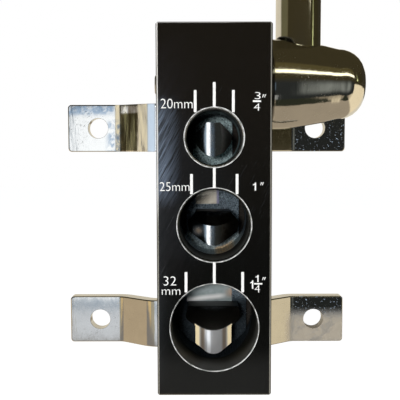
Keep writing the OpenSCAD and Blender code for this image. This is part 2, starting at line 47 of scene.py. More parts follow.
# Sizes of the block that the marks and finishes are laid out from, in millimetres. Their x is
# counted from the block's middle, which stands BLOCK_X to the right of the frame's origin.
BLOCK_X = 2.8
FACE_Y = -92.0
FLOOR_Y = -49.0  # the recess floors in the plunger
EAR_X, EAR_Z = 65.0, 58.0  # ear holes, counted from the frame's origin
EAR_HOLE, BOLT_X, BOLT_HOLE = 6.0, 20.0, 4.4
BLOCK_CENTRE = (0.0, -56.0, 15.0)
BLOCK_HALF = (28.0, 36.0, 91.0)
PORTS = [  # height of the axis, radius of the bore, chamfer at its mouth, width of the white line
    (51.0, 13.65, 1.0, 0.62),
    (8.5, 17.2, 1.1, 0.55),
    (-42.0, 21.35, 0.55, 0.5),
]


# ---------------------------------------------------------------- node-tree shorthand

def put(tree, kind, settings=None, inputs=None, out=0):
    """Adds a node, sets its options, fills or links its inputs, and returns one output."""
    node = tree.nodes.new(kind)
    for key, value in (settings or {}).items():
        setattr(node, key, value)
    for key, value in (inputs or {}).items():
        if isinstance(value, bpy.types.NodeSocket):
            tree.links.new(value, node.inputs[key])
        else:
            node.inputs[key].default_value = value
    return node.outputs[out]


def calc(tree, operation, a, b=0.0, c=0.0):
    """a (operation) b, as a Math node."""
    return put(tree, "ShaderNodeMath", {"operation": operation}, {0: a, 1: b, 2: c})


def ramp(tree, value, low, high, a=0.0, b=1.0):
    """Smooth step of value from a at low to b at high."""
    return put(tree, "ShaderNodeMapRange", {"interpolation_type": "SMOOTHSTEP"},
               {0: value, 1: low, 2: high, 3: a, 4: b})


def band(tree, value, low, high, soft):
    """1 where value lies between low and high, with soft edges."""
    return calc(tree, "MULTIPLY", ramp(tree, value, low - soft, low + soft),
                ramp(tree, value, high - soft, high + soft, 1.0, 0.0))


def patch(tree, u, v, box, soft):
    """1 inside the box (u0, u1, v0, v1), with soft edges."""
    return calc(tree, "MULTIPLY", band(tree, u, box[0], box[1], soft),
                band(tree, v, box[2], box[3], soft))


def mixed(tree, fac, a, b):
    """Colour a where fac is 0 and b where it is 1."""
    return put(tree, "ShaderNodeMix", {"data_type": "RGBA"}, {0: fac, 6: a, 7: b}, out=2)


def mix_value(tree, fac, a, b):
    """Value a where fac is 0 and b where it is 1."""
    return put(tree, "ShaderNodeMix", {"data_type": "FLOAT"}, {0: fac, 2: a, 3: b})


def noise(tree, vector, scale, detail=3.0, rough=0.55, twist=0.0):
    """Fractal noise, 0 to 1."""
    return put(tree, "ShaderNodeTexNoise", None,
               {"Vector": vector, "Scale": scale, "Detail": detail, "Roughness": rough,
                "Distortion": twist})


def stretched(tree, vector, scale, turn=(0.0, 0.0, 0.0)):
    """vector turned by turn (radians) and then scaled, for streaks."""
    turned = put(tree, "ShaderNodeVectorRotate", {"rotation_type": "EULER_XYZ"},
                 {"Vector": vector, "Rotation": turn})
    return put(tree, "ShaderNodeVectorMath", {"operation": "MULTIPLY"}, {0: turned, 1: scale})


def parts(tree, vector):
    """x, y and z of a vector."""
    node = tree.nodes.new("ShaderNodeSeparateXYZ")
    tree.links.new(vector, node.inputs[0])
    return node.outputs[0], node.outputs[1], node.outputs[2]


def away_from(tree, x, z, height, side=0.0):
    """Distance from a level axis along Y at that height and side."""
    dx, dz = calc(tree, "SUBTRACT", x, side), calc(tree, "SUBTRACT", z, height)
    return calc(tree, "SQRT", calc(tree, "ADD", calc(tree, "MULTIPLY", dx, dx),
                                   calc(tree, "MULTIPLY", dz, dz)))


def place_mm(tree):
    """The point on the piece in millimetres, x from the block's middle."""
    point = put(tree, "ShaderNodeTexCoord", out=3)
    point = put(tree, "ShaderNodeVectorMath", {"operation": "SCALE"}, {0: point, 3: 1000.0})
    return put(tree, "ShaderNodeVectorMath", {"operation": "SUBTRACT"},
               {0: point, 1: (BLOCK_X, 0.0, 0.0)})


# ---------------------------------------------------------------- effects that finishes share

def new_group(name, inputs, outputs):
    """An empty node group with the given sockets; returns the group, its inputs and a sink."""
    group = bpy.data.node_groups.new(name, "ShaderNodeTree")
    kinds = {"v": "NodeSocketVector", "f": "NodeSocketFloat", "c": "NodeSocketColor"}
    for label, kind in inputs:
        group.interface.new_socket(name=label, in_out="INPUT", socket_type=kinds[kind])
    for label, kind in outputs:
        group.interface.new_socket(name=label, in_out="OUTPUT", socket_type=kinds[kind])
    source = group.nodes.new("NodeGroupInput")
    sink = group.nodes.new("NodeGroupOutput")
    return group, {o.name: o for o in source.outputs}, sink


def use(tree, group, inputs, out=0):
    """Places a node group and returns one of its outputs."""
    node = tree.nodes.new("ShaderNodeGroup")
    node.node_tree = group
    for key, value in inputs.items():
        if isinstance(value, bpy.types.NodeSocket):
            tree.links.new(value, node.inputs[key])
        else:
            node.inputs[key].default_value = value
    return node.outputs[out]


def make_edge_wear():
    """Mask of worn edges of a box: two of the three distances to its faces are within Inset.

    Each axis gives a ramp that starts Inset inside the face and is full Width further out. The
    largest product of two of the ramps marks the edges, and noise nicks it.
    """
    g, i, sink = new_group("edge_wear", [("Place", "v"), ("Centre", "v"), ("Half", "v"),
                                         ("Inset", "v"), ("Width", "f"), ("Patches", "f")],
                           [("Mask", "f")])
    away = put(g, "ShaderNodeVectorMath", {"operation": "SUBTRACT"},
               {0: i["Place"], 1: i["Centre"]})
    away = put(g, "ShaderNodeVectorMath", {"operation": "ABSOLUTE"}, {0: away})
    start = put(g, "ShaderNodeVectorMath", {"operation": "SUBTRACT"}, {0: i["Half"], 1: i["Inset"]})
    over = put(g, "ShaderNodeVectorMath", {"operation": "SUBTRACT"}, {0: away, 1: start})
    a, b, c = [put(g, "ShaderNodeMath", {"operation": "DIVIDE", "use_clamp": True},
                   {0: part, 1: i["Width"]}) for part in parts(g, over)]
    edge = calc(g, "MAXIMUM", calc(g, "MULTIPLY", a, b),
                calc(g, "MAXIMUM", calc(g, "MULTIPLY", b, c), calc(g, "MULTIPLY", a, c)))
    nick = noise(g, i["Place"], 0.35, 5.0, 0.65)
    worn = ramp(g, calc(g, "ADD", nick, i["Patches"]), 0.42, 0.58)
    g.links.new(calc(g, "MULTIPLY", edge, worn), sink.inputs["Mask"])
    return g


def make_scratches():
    """Mask of fine straight scratches: noise drawn out along one direction, cut to thin lines,
    and broken up by a coarser noise so that they come and go."""
    g, i, sink = new_group("scratches", [("Place", "v"), ("Stretch", "v"), ("Turn", "v"),
                                         ("Amount", "f")], [("Mask", "f")])
    streak = noise(g, stretched(g, i["Place"], i["Stretch"], i["Turn"]), 1.0, 4.0, 0.6)
    line = ramp(g, calc(g, "ADD", streak, i["Amount"]), 0.62, 0.68)
    where = ramp(g, noise(g, i["Place"], 0.06, 2.0), 0.42, 0.62)
    g.links.new(calc(g, "MULTIPLY", line, where), sink.inputs["Mask"])
    return g


def make_chatter():
    """Height of a face milled about Centre: spokes round it, bent by noise, over coarse pits.

    The angle about the port's axis, times the number of spokes, goes through a sine; the pits
    are noise at half a millimetre.
    """
    g, i, sink = new_group("chatter", [("Place", "v"), ("Height", "f"), ("Spokes", "f")],
                           [("Height", "f")])
    x, _, z = parts(g, i["Place"])
    dz = calc(g, "SUBTRACT", z, i["Height"])
    angle = calc(g, "ARCTAN2", dz, x)
    wander = calc(g, "MULTIPLY", noise(g, i["Place"], 0.5, 3.0), 3.0)
    spoke = calc(g, "SINE", calc(g, "ADD", calc(g, "MULTIPLY", angle, i["Spokes"]), wander))
    pits = noise(g, i["Place"], 1.9, 4.0, 0.7)
    height = calc(g, "ADD", calc(g, "MULTIPLY", spoke, 0.35), calc(g, "MULTIPLY", pits, 1.3))
    g.links.new(height, sink.inputs["Height"])
    return g


EDGE_WEAR = make_edge_wear()
SCRATCHES = make_scratches()
CHATTER = make_chatter()


# ---------------------------------------------------------------- finishes

def finish(name):
    """A new material with a Principled shader: returns the material, its tree and the shader."""
    material = bpy.data.materials.new(name)
    material.use_nodes = True
    tree = material.node_tree
    shader = tree.nodes["Principled BSDF"]
    return material, tree, shader


def feed(tree, shader, **inputs):
    """Sets or links the shader's inputs, with underscores for the spaces in their names."""
    for key, value in inputs.items():
        socket = shader.inputs[key.replace("_", " ")]
        if isinstance(value, bpy.types.NodeSocket):
            tree.links.new(value, socket)
        else:
            socket.default_value = value


def bump(tree, height, distance, strength=1.0):
    """Normal from a height in units of distance, in metres."""
    return put(tree, "ShaderNodeBump", None,
               {"Height": height, "Distance": distance, "Strength": strength})


def block_black():
    """Gloss black enamel: fine slanting scratches, a painted sheen on the left, bare metal at the
    edges, and machined walls inside the ports, which are found by their distance from each port's
    axis. The worn edges carry a painted highlight on the upper left and painted shade on the right
    and low down, the bore walls are painted darker deeper in, and the enamel is painted lighter
    towards the top and darker towards the bottom."""
    material, t, shader = finish("block_black")
    at = place_mm(t)
    x, y, z = parts(t, at)
    worn = use(t, EDGE_WEAR, {"Place": at, "Centre": BLOCK_CENTRE, "Half": BLOCK_HALF,
                              "Inset": (1.02, 0.62, 0.62), "Width": 0.18, "Patches": 0.2})
    slant = use(t, SCRATCHES, {"Place": at, "Stretch": (2.2, 0.9, 0.07),
                               "Turn": (0.0, -0.5, 0.0), "Amount": 0.0})
    cross = use(t, SCRATCHES, {"Place": at, "Stretch": (0.05, 0.6, 1.5),
                               "Turn": (0.0, -0.25, 0.0), "Amount": -0.08})
    lines = calc(t, "MAXIMUM", slant, cross)
    streaks = noise(t, stretched(t, at, (1.8, 0.3, 0.07), (0.0, -0.5, 0.0)), 1.0, 4.0, 0.65)
    # Painted sheen: a blue-grey reflection on the left of the face, broken into slanting streaks.
    # faint is a wider, fainter painted sheen round it.
    painted_sheen = calc(t, "MULTIPLY", patch(t, x, z, (-31.0, -21.5, 22.0, 66.0), 6.5),
                ramp(t, streaks, 0.28, 0.66))
    faint = calc(t, "MULTIPLY", patch(t, x, z, (-32.0, -14.0, -16.0, 96.0), 12.0),
                 ramp(t, streaks, 0.35, 0.7))
    bored = None
    for height, radius, _, _ in PORTS:
        inside = calc(t, "LESS_THAN", away_from(t, x, z, height), radius + 0.3)
        bored = inside if bored is None else calc(t, "MAXIMUM", bored, inside)
    speck = ramp(t, noise(t, at, 2.2, 2.0), 0.72, 0.76)
    # Painted light and shade: the enamel is lighter towards the top and darker towards the bottom.
    enamel = mixed(t, ramp(t, z, -20.0, 70.0), (0.0028, 0.0028, 0.0024, 1),
                   (0.0072, 0.0060, 0.0046, 1))
    enamel = mixed(t, faint, enamel, (0.011, 0.010, 0.0105, 1))
    enamel = mixed(t, painted_sheen, enamel, (0.110, 0.142, 0.195, 1))
    enamel = mixed(t, calc(t, "MULTIPLY", lines, 0.3), enamel, (0.045, 0.048, 0.055, 1))
    enamel = mixed(t, calc(t, "MULTIPLY", speck, 0.25), enamel, (0.12, 0.12, 0.12, 1))
    wall = mixed(t, noise(t, stretched(t, at, (0.3, 2.5, 0.3)), 1.0), (0.035, 0.037, 0.036, 1),
                 (0.10, 0.10, 0.09, 1))
    # Painted shade: the bore walls are darker deeper in.
    wall = mixed(t, ramp(t, y, -88.0, -76.0), wall, (0.012, 0.012, 0.010, 1))
    colour = mixed(t, bored, enamel, wall)
    bare = mixed(t, noise(t, at, 0.8, 4.0), (0.72, 0.71, 0.68, 1), (0.96, 0.95, 0.92, 1))
    # The worn edges are real wear. Their bright silver on the upper left is a painted highlight; on
    # the right and low down they are dimmed as painted shade.
    dim_edge_shade = calc(t, "MAXIMUM", ramp(t, x, 0.0, 20.0), ramp(t, z, 24.0, 6.0))
    bare = mixed(t, calc(t, "MULTIPLY", dim_edge_shade, 0.85), bare, (0.20, 0.195, 0.16, 1))
    colour = mixed(t, worn, colour, bare)
    metal = calc(t, "MULTIPLY", worn, 0.15)
    smooth = mix_value(t, noise(t, at, 0.09, 4.0), 0.08, 0.14)
    smooth = mix_value(t, painted_sheen, smooth, 0.34)
    smooth = mix_value(t, calc(t, "MULTIPLY", lines, 0.4), smooth, 0.4)
    smooth = mix_value(t, bored, smooth, 0.52)
    smooth = mix_value(t, worn, smooth, 0.5)
    rings = noise(t, stretched(t, at, (0.05, 5.0, 0.05)), 1.0, 2.0)
    height = calc(t, "ADD", calc(t, "MULTIPLY", noise(t, at, 0.5, 3.0), 0.5),
                  calc(t, "MULTIPLY", lines, -0.2))
    height = mix_value(t, bored, height, rings)
    feed(t, shader, Base_Color=colour, Metallic=metal, Roughness=smooth,
         Specular_IOR_Level=mix_value(t, bored, 0.5, 0.12),
         Normal=bump(t, height, 0.000012, 0.6))
    return material


def bright_chrome():
    """Bright plating over bar that was never quite flat: a long soft ripple that runs up the bar,
    hairline scratches and a few pits. The bent bars, behind y = -23, are duller than the hub: a
    painted blue reflection clouds the upper left ear, a painted khaki reflection lies on the lower
    part of the lower right ear, and the upper right one is speckled. On their left half, slope,
    cream and cool are painted reflections of a room, at fixed places, so they stay where they are
    when the light changes."""
    material, t, shader = finish("bright_chrome")
    at = place_mm(t)
    x, y, z = parts(t, at)
    strap = ramp(t, y, -24.0, -22.0)
    hair = use(t, SCRATCHES, {"Place": at, "Stretch": (1.6, 1.6, 0.06), "Turn": (0.5, 0.2, 0.0),
                              "Amount": 0.0})
    hair2 = use(t, SCRATCHES, {"Place": at, "Stretch": (0.07, 1.4, 1.4), "Turn": (0.1, 0.5, 0.3),
                               "Amount": 0.0})
    lines = calc(t, "MULTIPLY", calc(t, "MAXIMUM", hair, hair2), ramp(t, z, 101.0, 96.0))
    film = noise(t, at, 0.12, 4.0, 0.6)
    pits = ramp(t, noise(t, at, 1.4, 2.0), 0.74, 0.79)
    colour = mixed(t, film, (0.80, 0.79, 0.765, 1), (0.66, 0.655, 0.635, 1))
    colour = mixed(t, calc(t, "MULTIPLY", pits, 0.6), colour, (0.22, 0.19, 0.14, 1))
    colour = mixed(t, strap, colour, mixed(t, film, (0.60, 0.60, 0.585, 1), (0.50, 0.50, 0.49, 1)))
    cloud = ramp(t, noise(t, at, 0.2, 5.0, 0.62, 0.6), 0.40, 0.60)
    run = noise(t, stretched(t, at, (0.42, 0.42, 0.05)), 1.0, 4.0, 0.6)
    # Painted reflections on the upper left slope: dark and bright streaks of a room.
    slope = calc(t, "MULTIPLY", patch(t, x, z, (-55.0, -43.0, 42.0, 74.0), 0.6), strap)
    colour = mixed(t, calc(t, "MULTIPLY", slope, ramp(t, run, 0.38, 0.6, 0.9, 0.0)), colour,
                   (0.15, 0.12, 0.08, 1))
    colour = mixed(t, calc(t, "MULTIPLY", slope, ramp(t, run, 0.5, 0.68)), colour,
                   (1.0, 1.0, 0.92, 1))
    # Painted cream reflections: strips beside the slope, and a band along the upper left bar's top.
    cream = calc(t, "MULTIPLY", strap, calc(
        t, "MAXIMUM", patch(t, x, z, (-57.4, -54.8, 42.0, 74.0), 0.5),
        calc(t, "MULTIPLY", patch(t, x, z, (-43.4, -37.2, 42.0, 74.0), 0.9),
             ramp(t, run, 0.3, 0.56, 0.3, 1.0))))
    colour = mixed(t, cream, colour, (0.78, 0.69, 0.48, 1))
    cream = calc(t, "MAXIMUM", cream, calc(
        t, "MULTIPLY", strap, calc(t, "MULTIPLY", patch(t, x, z, (-54.0, -37.5, 67.0, 71.0), 1.0),
                                   ramp(t, cloud, 0.0, 1.0, 1.0, 0.5))))
    # Painted cool blue reflection on a strip beside the slope.
    cool = calc(t, "MULTIPLY", strap, patch(t, x, z, (-37.4, -33.0, 42.0, 74.0), 0.7))
    # Painted blue reflection in cloudy patches along the upper left ear's top and right of its
    # hole.
    blue_reflection = calc(t, "MAXIMUM", calc(t, "MULTIPLY", patch(t, x, z, (-88.0, -58.0, 66.0, 74.0), 2.0),
                                    ramp(t, cloud, 0.0, 1.0, 0.45, 1.0)),
                 calc(t, "MULTIPLY", patch(t, x, z, (-62.0, -53.5, 43.0, 62.0), 2.5), cloud))
    colour = mixed(t, calc(t, "MULTIPLY", blue_reflection, strap), colour, (0.21, 0.27, 0.34, 1))
    colour = mixed(t, cool, colour, (0.62, 0.74, 0.88, 1))
    # Painted khaki reflection of the ground on the lower part of the lower right ear, dull.
    dust_and_khaki_reflection = calc(t, "MULTIPLY", patch(t, x, z, (47.0, 86.0, -74.0, -55.0), 5.0),
                ramp(t, cloud, 0.0, 0.5, 0.75, 1.0))
    dust_and_khaki_reflection = calc(t, "MULTIPLY", dust_and_khaki_reflection, strap)
    colour = mixed(t, dust_and_khaki_reflection, colour, (0.46, 0.41, 0.33, 1))
    speck = ramp(t, noise(t, at, 0.75, 3.0, 0.6), 0.60, 0.67)
    speck = calc(t, "MULTIPLY", calc(t, "MULTIPLY", speck, strap),
                 calc(t, "MAXIMUM", patch(t, x, z, (50.0, 86.0, 42.0, 74.0), 2.0),
                      patch(t, x, z, (50.0, 86.0, -56.0, -42.0), 2.0)))
    colour = mixed(t, speck, colour, (0.34, 0.46, 0.62, 1))
    smooth = mix_value(t, film, 0.05, 0.13)
    smooth = mix_value(t, calc(t, "MULTIPLY", lines, 0.8), smooth, 0.38)
    dull = calc(t, "MAXIMUM", calc(t, "MAXIMUM", dust_and_khaki_reflection, speck), calc(t, "MAXIMUM", cream, cool))
    smooth = mix_value(t, dull, smooth, 0.5)
    ripple = noise(t, stretched(t, at, (0.16, 0.16, 0.035)), 1.0, 3.0, 0.6)
    height = calc(t, "ADD", ripple, calc(t, "MULTIPLY", lines, -0.02))
    feed(t, shader, Base_Color=colour, Roughness=smooth,
         Metallic=mix_value(t, dull, 1.0, 0.15),
         Normal=bump(t, height, 0.0001, 0.8))
    return material


def punch_steel():
    """Ground steel: fine level lines left by the wheel, cloudy with a thin film of oil. Painted at
    fixed places: on the large punch a white highlight stripe, a dim blue-grey reflection left of
    it, brownish reflection bands and pale gold reflections towards its sides; on the middle one a
    tan reflection at its left and a brown reflection on its right; and painted shade on the top
    faces of both."""
    material, t, shader = finish("punch_steel")
    at = place_mm(t)
    x, y, z = parts(t, at)
    lines = noise(t, stretched(t, at, (0.06, 0.06, 6.0)), 1.0, 3.0, 0.7)
    film = ramp(t, noise(t, at, 0.35, 4.0, 0.6), 0.35, 0.7)
    colour = mixed(t, lines, (0.60, 0.605, 0.61, 1), (0.86, 0.865, 0.86, 1))
    colour = mixed(t, calc(t, "MULTIPLY", film, 0.3), colour, (0.42, 0.37, 0.29, 1))
    # Painted reflection: a dim blue-grey area on the large punch left of its highlight stripe.
    dim_reflection = calc(t, "MULTIPLY", ramp(t, x, -3.1, -3.9),
                calc(t, "MULTIPLY", ramp(t, y, -55.0, -60.0), ramp(t, z, -34.0, -30.0)))
    colour = mixed(t, dim_reflection, colour, (0.17, 0.21, 0.24, 1))
    below = calc(t, "SUBTRACT", z, calc(t, "MULTIPLY", calc(t, "MULTIPLY", x, x), 0.032))
    low = calc(t, "MULTIPLY", ramp(t, below, -48.5, -49.1), ramp(t, y, -63.0, -66.0))
    off = calc(t, "ABSOLUTE", x)
    low = calc(t, "MULTIPLY", low, ramp(t, off, 9.9, 9.6))
    # Painted reflection: pale gold towards the large punch's sides, lit like paint rather than
    # mirrored.
    straw_reflection = calc(t, "MULTIPLY", low, ramp(t, off, 6.4, 8.0))
    colour = mixed(t, calc(t, "MULTIPLY", low, ramp(t, off, 9.6, 9.3)), colour,
                   (0.62, 0.62, 0.62, 1))
    # Painted highlight: a white stripe on the large punch, 2.4 mm left of its middle, then painted
    # brownish reflection bands 4.6 to 6.6 mm out on both sides.
    colour = mixed(t, calc(t, "MULTIPLY", low, ramp(t, calc(t, "ABSOLUTE", calc(
        t, "ADD", x, 2.4)), 1.3, 0.5)), colour, (1.0, 1.0, 1.0, 1))
    colour = mixed(t, calc(t, "MULTIPLY", low, patch(t, off, z, (4.6, 6.6, -80.0, -40.0), 0.8)),
                   colour, (0.36, 0.29, 0.22, 1))
    colour = mixed(t, straw_reflection, colour, (1.0, 0.84, 0.52, 1))
    # Painted reflection: a tan patch at the middle punch's left.
    tan_reflection = calc(t, "MULTIPLY", patch(t, x, z, (-9.2, -6.2, 2.0, 4.6), 2.2),
                 ramp(t, y, -60.0, -64.0))
    colour = mixed(t, tan_reflection, colour, (0.36, 0.25, 0.15, 1))
    # Painted reflection: a brown area on the middle punch's right.
    brown = calc(t, "MULTIPLY", patch(t, x, z, (3.0, 20.0, -9.0, 12.0), 1.8),
                 calc(t, "MULTIPLY", ramp(t, y, -55.0, -60.0), ramp(t, film, 0.0, 1.0, 0.7, 1.0)))
    colour = mixed(t, brown, colour, (0.16, 0.12, 0.085, 1))
    # Painted shade: the top faces of the large and middle punches are dark and dull.
    top = calc(t, "MAXIMUM", band(t, z, -38.4, -37.7, 0.08), band(t, z, 12.6, 13.3, 0.08))
    colour = mixed(t, top, colour, (0.06, 0.065, 0.065, 1))
    smooth = mix_value(t, film, 0.09, 0.16)
    smooth = mix_value(t, low, smooth, 0.22)
    smooth = mix_value(t, top, smooth, 0.55)
    metal = mix_value(t, low, 1.0, mix_value(t, straw_reflection, 0.65, 0.08))
    metal = mix_value(t, tan_reflection, metal, 0.3)
    feed(t, shader, Base_Color=colour, Metallic=metal, Roughness=smooth,
         Normal=bump(t, lines, 0.000012, 0.6))
    return material


def plunger_dark():
    """Milled steel, dark with oil: spoke-like chatter round each port's axis on the recess floors,
    painted glints speckled over the milled faces, bright cuts where the scoops go below the floor,
    and painted shade in the side slots. Painted at fixed places are: light on the small port's
    floor and on the lower part of the middle one's, shade low in the large one, a shadow at the
    left of the small floor, gold light near the middle recess's lower right edge, cream and teal
    reflections on the scoops with a blue one at the middle scoop's right end, the glint and an
    orange patch on the large scoop, and the dark crescents at the floors' upper left, which are
    painted shadows."""
    material, t, shader = finish("plunger_dark")
    at = place_mm(t)
    x, y, z = parts(t, at)
    height = 0.5
    for port, spokes in zip(PORTS, (64.0, 80.0, 96.0)):
        rough = use(t, CHATTER, {"Place": at, "Height": port[0], "Spokes": spokes})
        near = ramp(t, calc(t, "ABSOLUTE", calc(t, "SUBTRACT", z, port[0])), 22.0, 21.0)
        height = mix_value(t, near, height, rough)
    cut = None
    for x0, x1, z0, z1 in ((-9.6, 3.7, 13.0, 30.0), (-14.5, 10.8, -41.0, -22.0)):
        here = calc(t, "MULTIPLY", patch(t, x, z, (x0, x1, z0, z1), 0.7),
                    ramp(t, y, FLOOR_Y + 0.12, FLOOR_Y + 0.4))
        cut = here if cut is None else calc(t, "MAXIMUM", cut, here)
    # Painted shade: faces deeper than the recess floor, in the side slots, are near black.
    slot_shade = calc(t, "MULTIPLY", ramp(t, y, FLOOR_Y + 0.3, FLOOR_Y + 1.2),
                calc(t, "SUBTRACT", 1.0, cut))
    mottle = ramp(t, noise(t, at, 1.3, 5.0, 0.75), 0.3, 0.72)
    # Painted glints: bright bluish specks over the milled faces.
    painted_glint = ramp(t, noise(t, at, 2.6, 3.0, 0.7), 0.6, 0.7)
    colour = mixed(t, mottle, (0.030, 0.045, 0.060, 1), (0.36, 0.45, 0.52, 1))
    colour = mixed(t, calc(t, "MULTIPLY", painted_glint, 0.7), colour, (0.85, 0.96, 1.0, 1))
    shade = calc(t, "MULTIPLY", ramp(t, z, -33.0, -39.0), 0.88)
    colour = mixed(t, shade, colour, (0.014, 0.019, 0.023, 1))
    # Painted light: the floor is brighter above z = 31 to 34, in the small port.
    upper = ramp(t, z, 31.0, 34.0)
    colour = mixed(t, upper, colour,
                   mixed(t, mottle, (0.07, 0.11, 0.13, 1), (0.80, 1.0, 1.0, 1)))
    # Painted shadow on the left of the small port's floor.
    colour = mixed(t, calc(t, "MULTIPLY", patch(t, x, z, (-20.0, -8.0, 45.0, 58.0), 2.0), 0.9),
                   colour, (0.01, 0.012, 0.012, 1))
    dz = calc(t, "SUBTRACT", z, PORTS[1][0])
    far = away_from(t, x, z, PORTS[1][0])
    # Painted light on the lower part of the middle recess's floor.
    under = calc(t, "MULTIPLY", ramp(t, far, 14.0, 16.5),
                 patch(t, x, dz, (-15.0, 16.0, -19.0, -8.0), 2.0))
    colour = mixed(t, calc(t, "MULTIPLY", under, 0.7), colour,
                   mixed(t, mottle, (0.10, 0.14, 0.17, 1), (0.85, 1.0, 1.0, 1)))
    # Painted gold light near the lower right edge of the middle recess.
    gold = calc(t, "MULTIPLY", patch(t, x, dz, (1.5, 11.0, -19.0, -11.5), 1.6),
                ramp(t, far, 16.0, 17.2))
    colour = mixed(t, calc(t, "MULTIPLY", gold, mottle), colour, (1.0, 0.62, 0.22, 1))
    lines = noise(t, stretched(t, at, (0.05, 2.2, 2.2), (0.0, 0.35, 0.0)), 1.0, 3.0, 0.65)
    cloudy = ramp(t, noise(t, at, 0.42, 4.0, 0.65), 0.36, 0.62)
    milled = mixed(t, lines, (0.42, 0.43, 0.43, 1), (0.92, 0.92, 0.90, 1))
    milled = mixed(t, calc(t, "MULTIPLY", cloudy, 0.6), milled, (0.20, 0.21, 0.20, 1))
    # Painted reflection tones of the scoops: cream on the middle one and teal on the large one.
    warm = ramp(t, z, 0.0, 4.0)
    milled = mixed(t, calc(t, "MULTIPLY", warm, 0.6), milled, (0.86, 0.76, 0.58, 1))
    teal = calc(t, "SUBTRACT", 1.0, warm)
    milled = mixed(t, calc(t, "MULTIPLY", teal, 0.8), milled, (0.26, 0.32, 0.32, 1))
    rise = calc(t, "ADD", z, calc(t, "MULTIPLY", x, -0.10))
    glint = calc(t, "MULTIPLY", band(t, rise, -36.9, -34.9, 1.1), ramp(t, x, 9.5, 3.0))
    milled = mixed(t, calc(t, "MULTIPLY", teal, glint), milled, (1.0, 1.0, 0.98, 1))
    # An orange patch on the large scoop, at the right end of the glint.
    orange_patch = calc(t, "MULTIPLY", band(t, rise, -36.5, -32.5, 1.6),
                patch(t, x, z, (8.5, 14.0, -45.0, -20.0), 3.0))
    milled = mixed(t, calc(t, "MULTIPLY", calc(t, "MULTIPLY", teal, orange_patch), 0.6), milled,
                   (0.62, 0.34, 0.17, 1))
    # Painted reflection: blue at the middle scoop's right end.
    tint = calc(t, "MULTIPLY", warm, ramp(t, x, 1.4, 3.0))
    milled = mixed(t, calc(t, "MULTIPLY", tint, 0.8), milled, (0.16, 0.17, 0.36, 1))
    colour = mixed(t, cut, colour, milled)
    colour = mixed(t, slot_shade, colour, (0.022, 0.019, 0.016, 1))
    # Painted shadows: dark crescents at each floor's upper left, where the port's rim shades it.
    for port_height, radius, _, _ in PORTS:
        reach = away_from(t, x, z, port_height - 0.10 * radius, 0.13 * radius)
        crescent_shadow = calc(t, "MULTIPLY", ramp(t, reach, 0.93 * radius, 1.02 * radius),
                        band(t, z, port_height, port_height + radius, 2.5))
        colour = mixed(t, calc(t, "MULTIPLY", crescent_shadow, 0.93), colour, (0.008, 0.009, 0.009, 1))
    smooth = mix_value(t, cut, mix_value(t, mottle, 0.55, 0.38), 0.24)
    metal = mix_value(t, slot_shade, mix_value(t, cut, 0.55, 0.35), 0.1)
    feed(t, shader, Base_Color=colour, Metallic=metal, Roughness=smooth,
         Normal=bump(t, height, 0.0003, mix_value(t, cut, 0.9, 0.2)))
    return material


def turned(name, dark, light, rough, stretch):
    """Turned or plated metal: fine lines across the turning, a dull film and faint wear."""
    material, t, shader = finish(name)
    at = place_mm(t)
    lines = noise(t, stretched(t, at, stretch), 1.0, 3.0, 0.7)
    film = noise(t, at, 0.3, 4.0, 0.6)
    colour = mixed(t, film, dark, light)
    smooth = mix_value(t, lines, rough - 0.06, rough + 0.1)
    feed(t, shader, Base_Color=colour, Metallic=1.0, Roughness=smooth,
         Normal=bump(t, lines, 0.00001, 0.7))
    return material


def grip_rubber():
    """Moulded rubber: a fine pebble, with dust caught in it and a shine where the hand rubs."""
    material, t, shader = finish("grip_rubber")
    at = place_mm(t)
    pebble = put(t, "ShaderNodeTexVoronoi", {"feature": "F1"}, {"Vector": at, "Scale": 1.5})
    dust_and_khaki_reflection = ramp(t, noise(t, at, 0.25, 5.0, 0.7), 0.45, 0.75)
    colour = mixed(t, dust_and_khaki_reflection, (0.014, 0.014, 0.015, 1), (0.04, 0.039, 0.037, 1))
    smooth = mix_value(t, noise(t, at, 0.05, 2.0), 0.5, 0.72)
    feed(t, shader, Base_Color=colour, Roughness=smooth, Normal=bump(t, pebble, 0.00008, 0.7))
    return material


def mark_white():
    """White paint printed on the enamel: nearly even, with pinholes and faint dirt."""
    material, t, shader = finish("mark_white")
    at = place_mm(t)
    dirt = ramp(t, noise(t, at, 0.9, 5.0, 0.7), 0.45, 0.8)
    holes = ramp(t, noise(t, at, 3.2, 1.0), 0.73, 0.77)
    colour = mixed(t, dirt, (0.86, 0.86, 0.84, 1), (0.66, 0.655, 0.63, 1))
    colour = mixed(t, calc(t, "MULTIPLY", holes, 0.6), colour, (0.1, 0.1, 0.1, 1))
    feed(t, shader, Base_Color=colour, Roughness=mix_value(t, dirt, 0.35, 0.6),
         Normal=bump(t, noise(t, at, 2.0, 3.0), 0.00001, 0.6))
    return material


def rim_white():
    """The bright line round a port's mouth, rubbed down to metal in places."""
    material, t, shader = finish("rim_white")
    at = place_mm(t)
    rub = ramp(t, noise(t, at, 0.28, 5.0, 0.7), 0.4, 0.66)
    colour = mixed(t, rub, (0.84, 0.84, 0.82, 1), (0.40, 0.42, 0.41, 1))
    feed(t, shader, Base_Color=colour, Metallic=calc(t, "MULTIPLY", rub, 0.5),
         Roughness=mix_value(t, rub, 0.45, 0.3),
         Normal=bump(t, noise(t, at, 1.6, 4.0), 0.00004, 0.6))
    return material


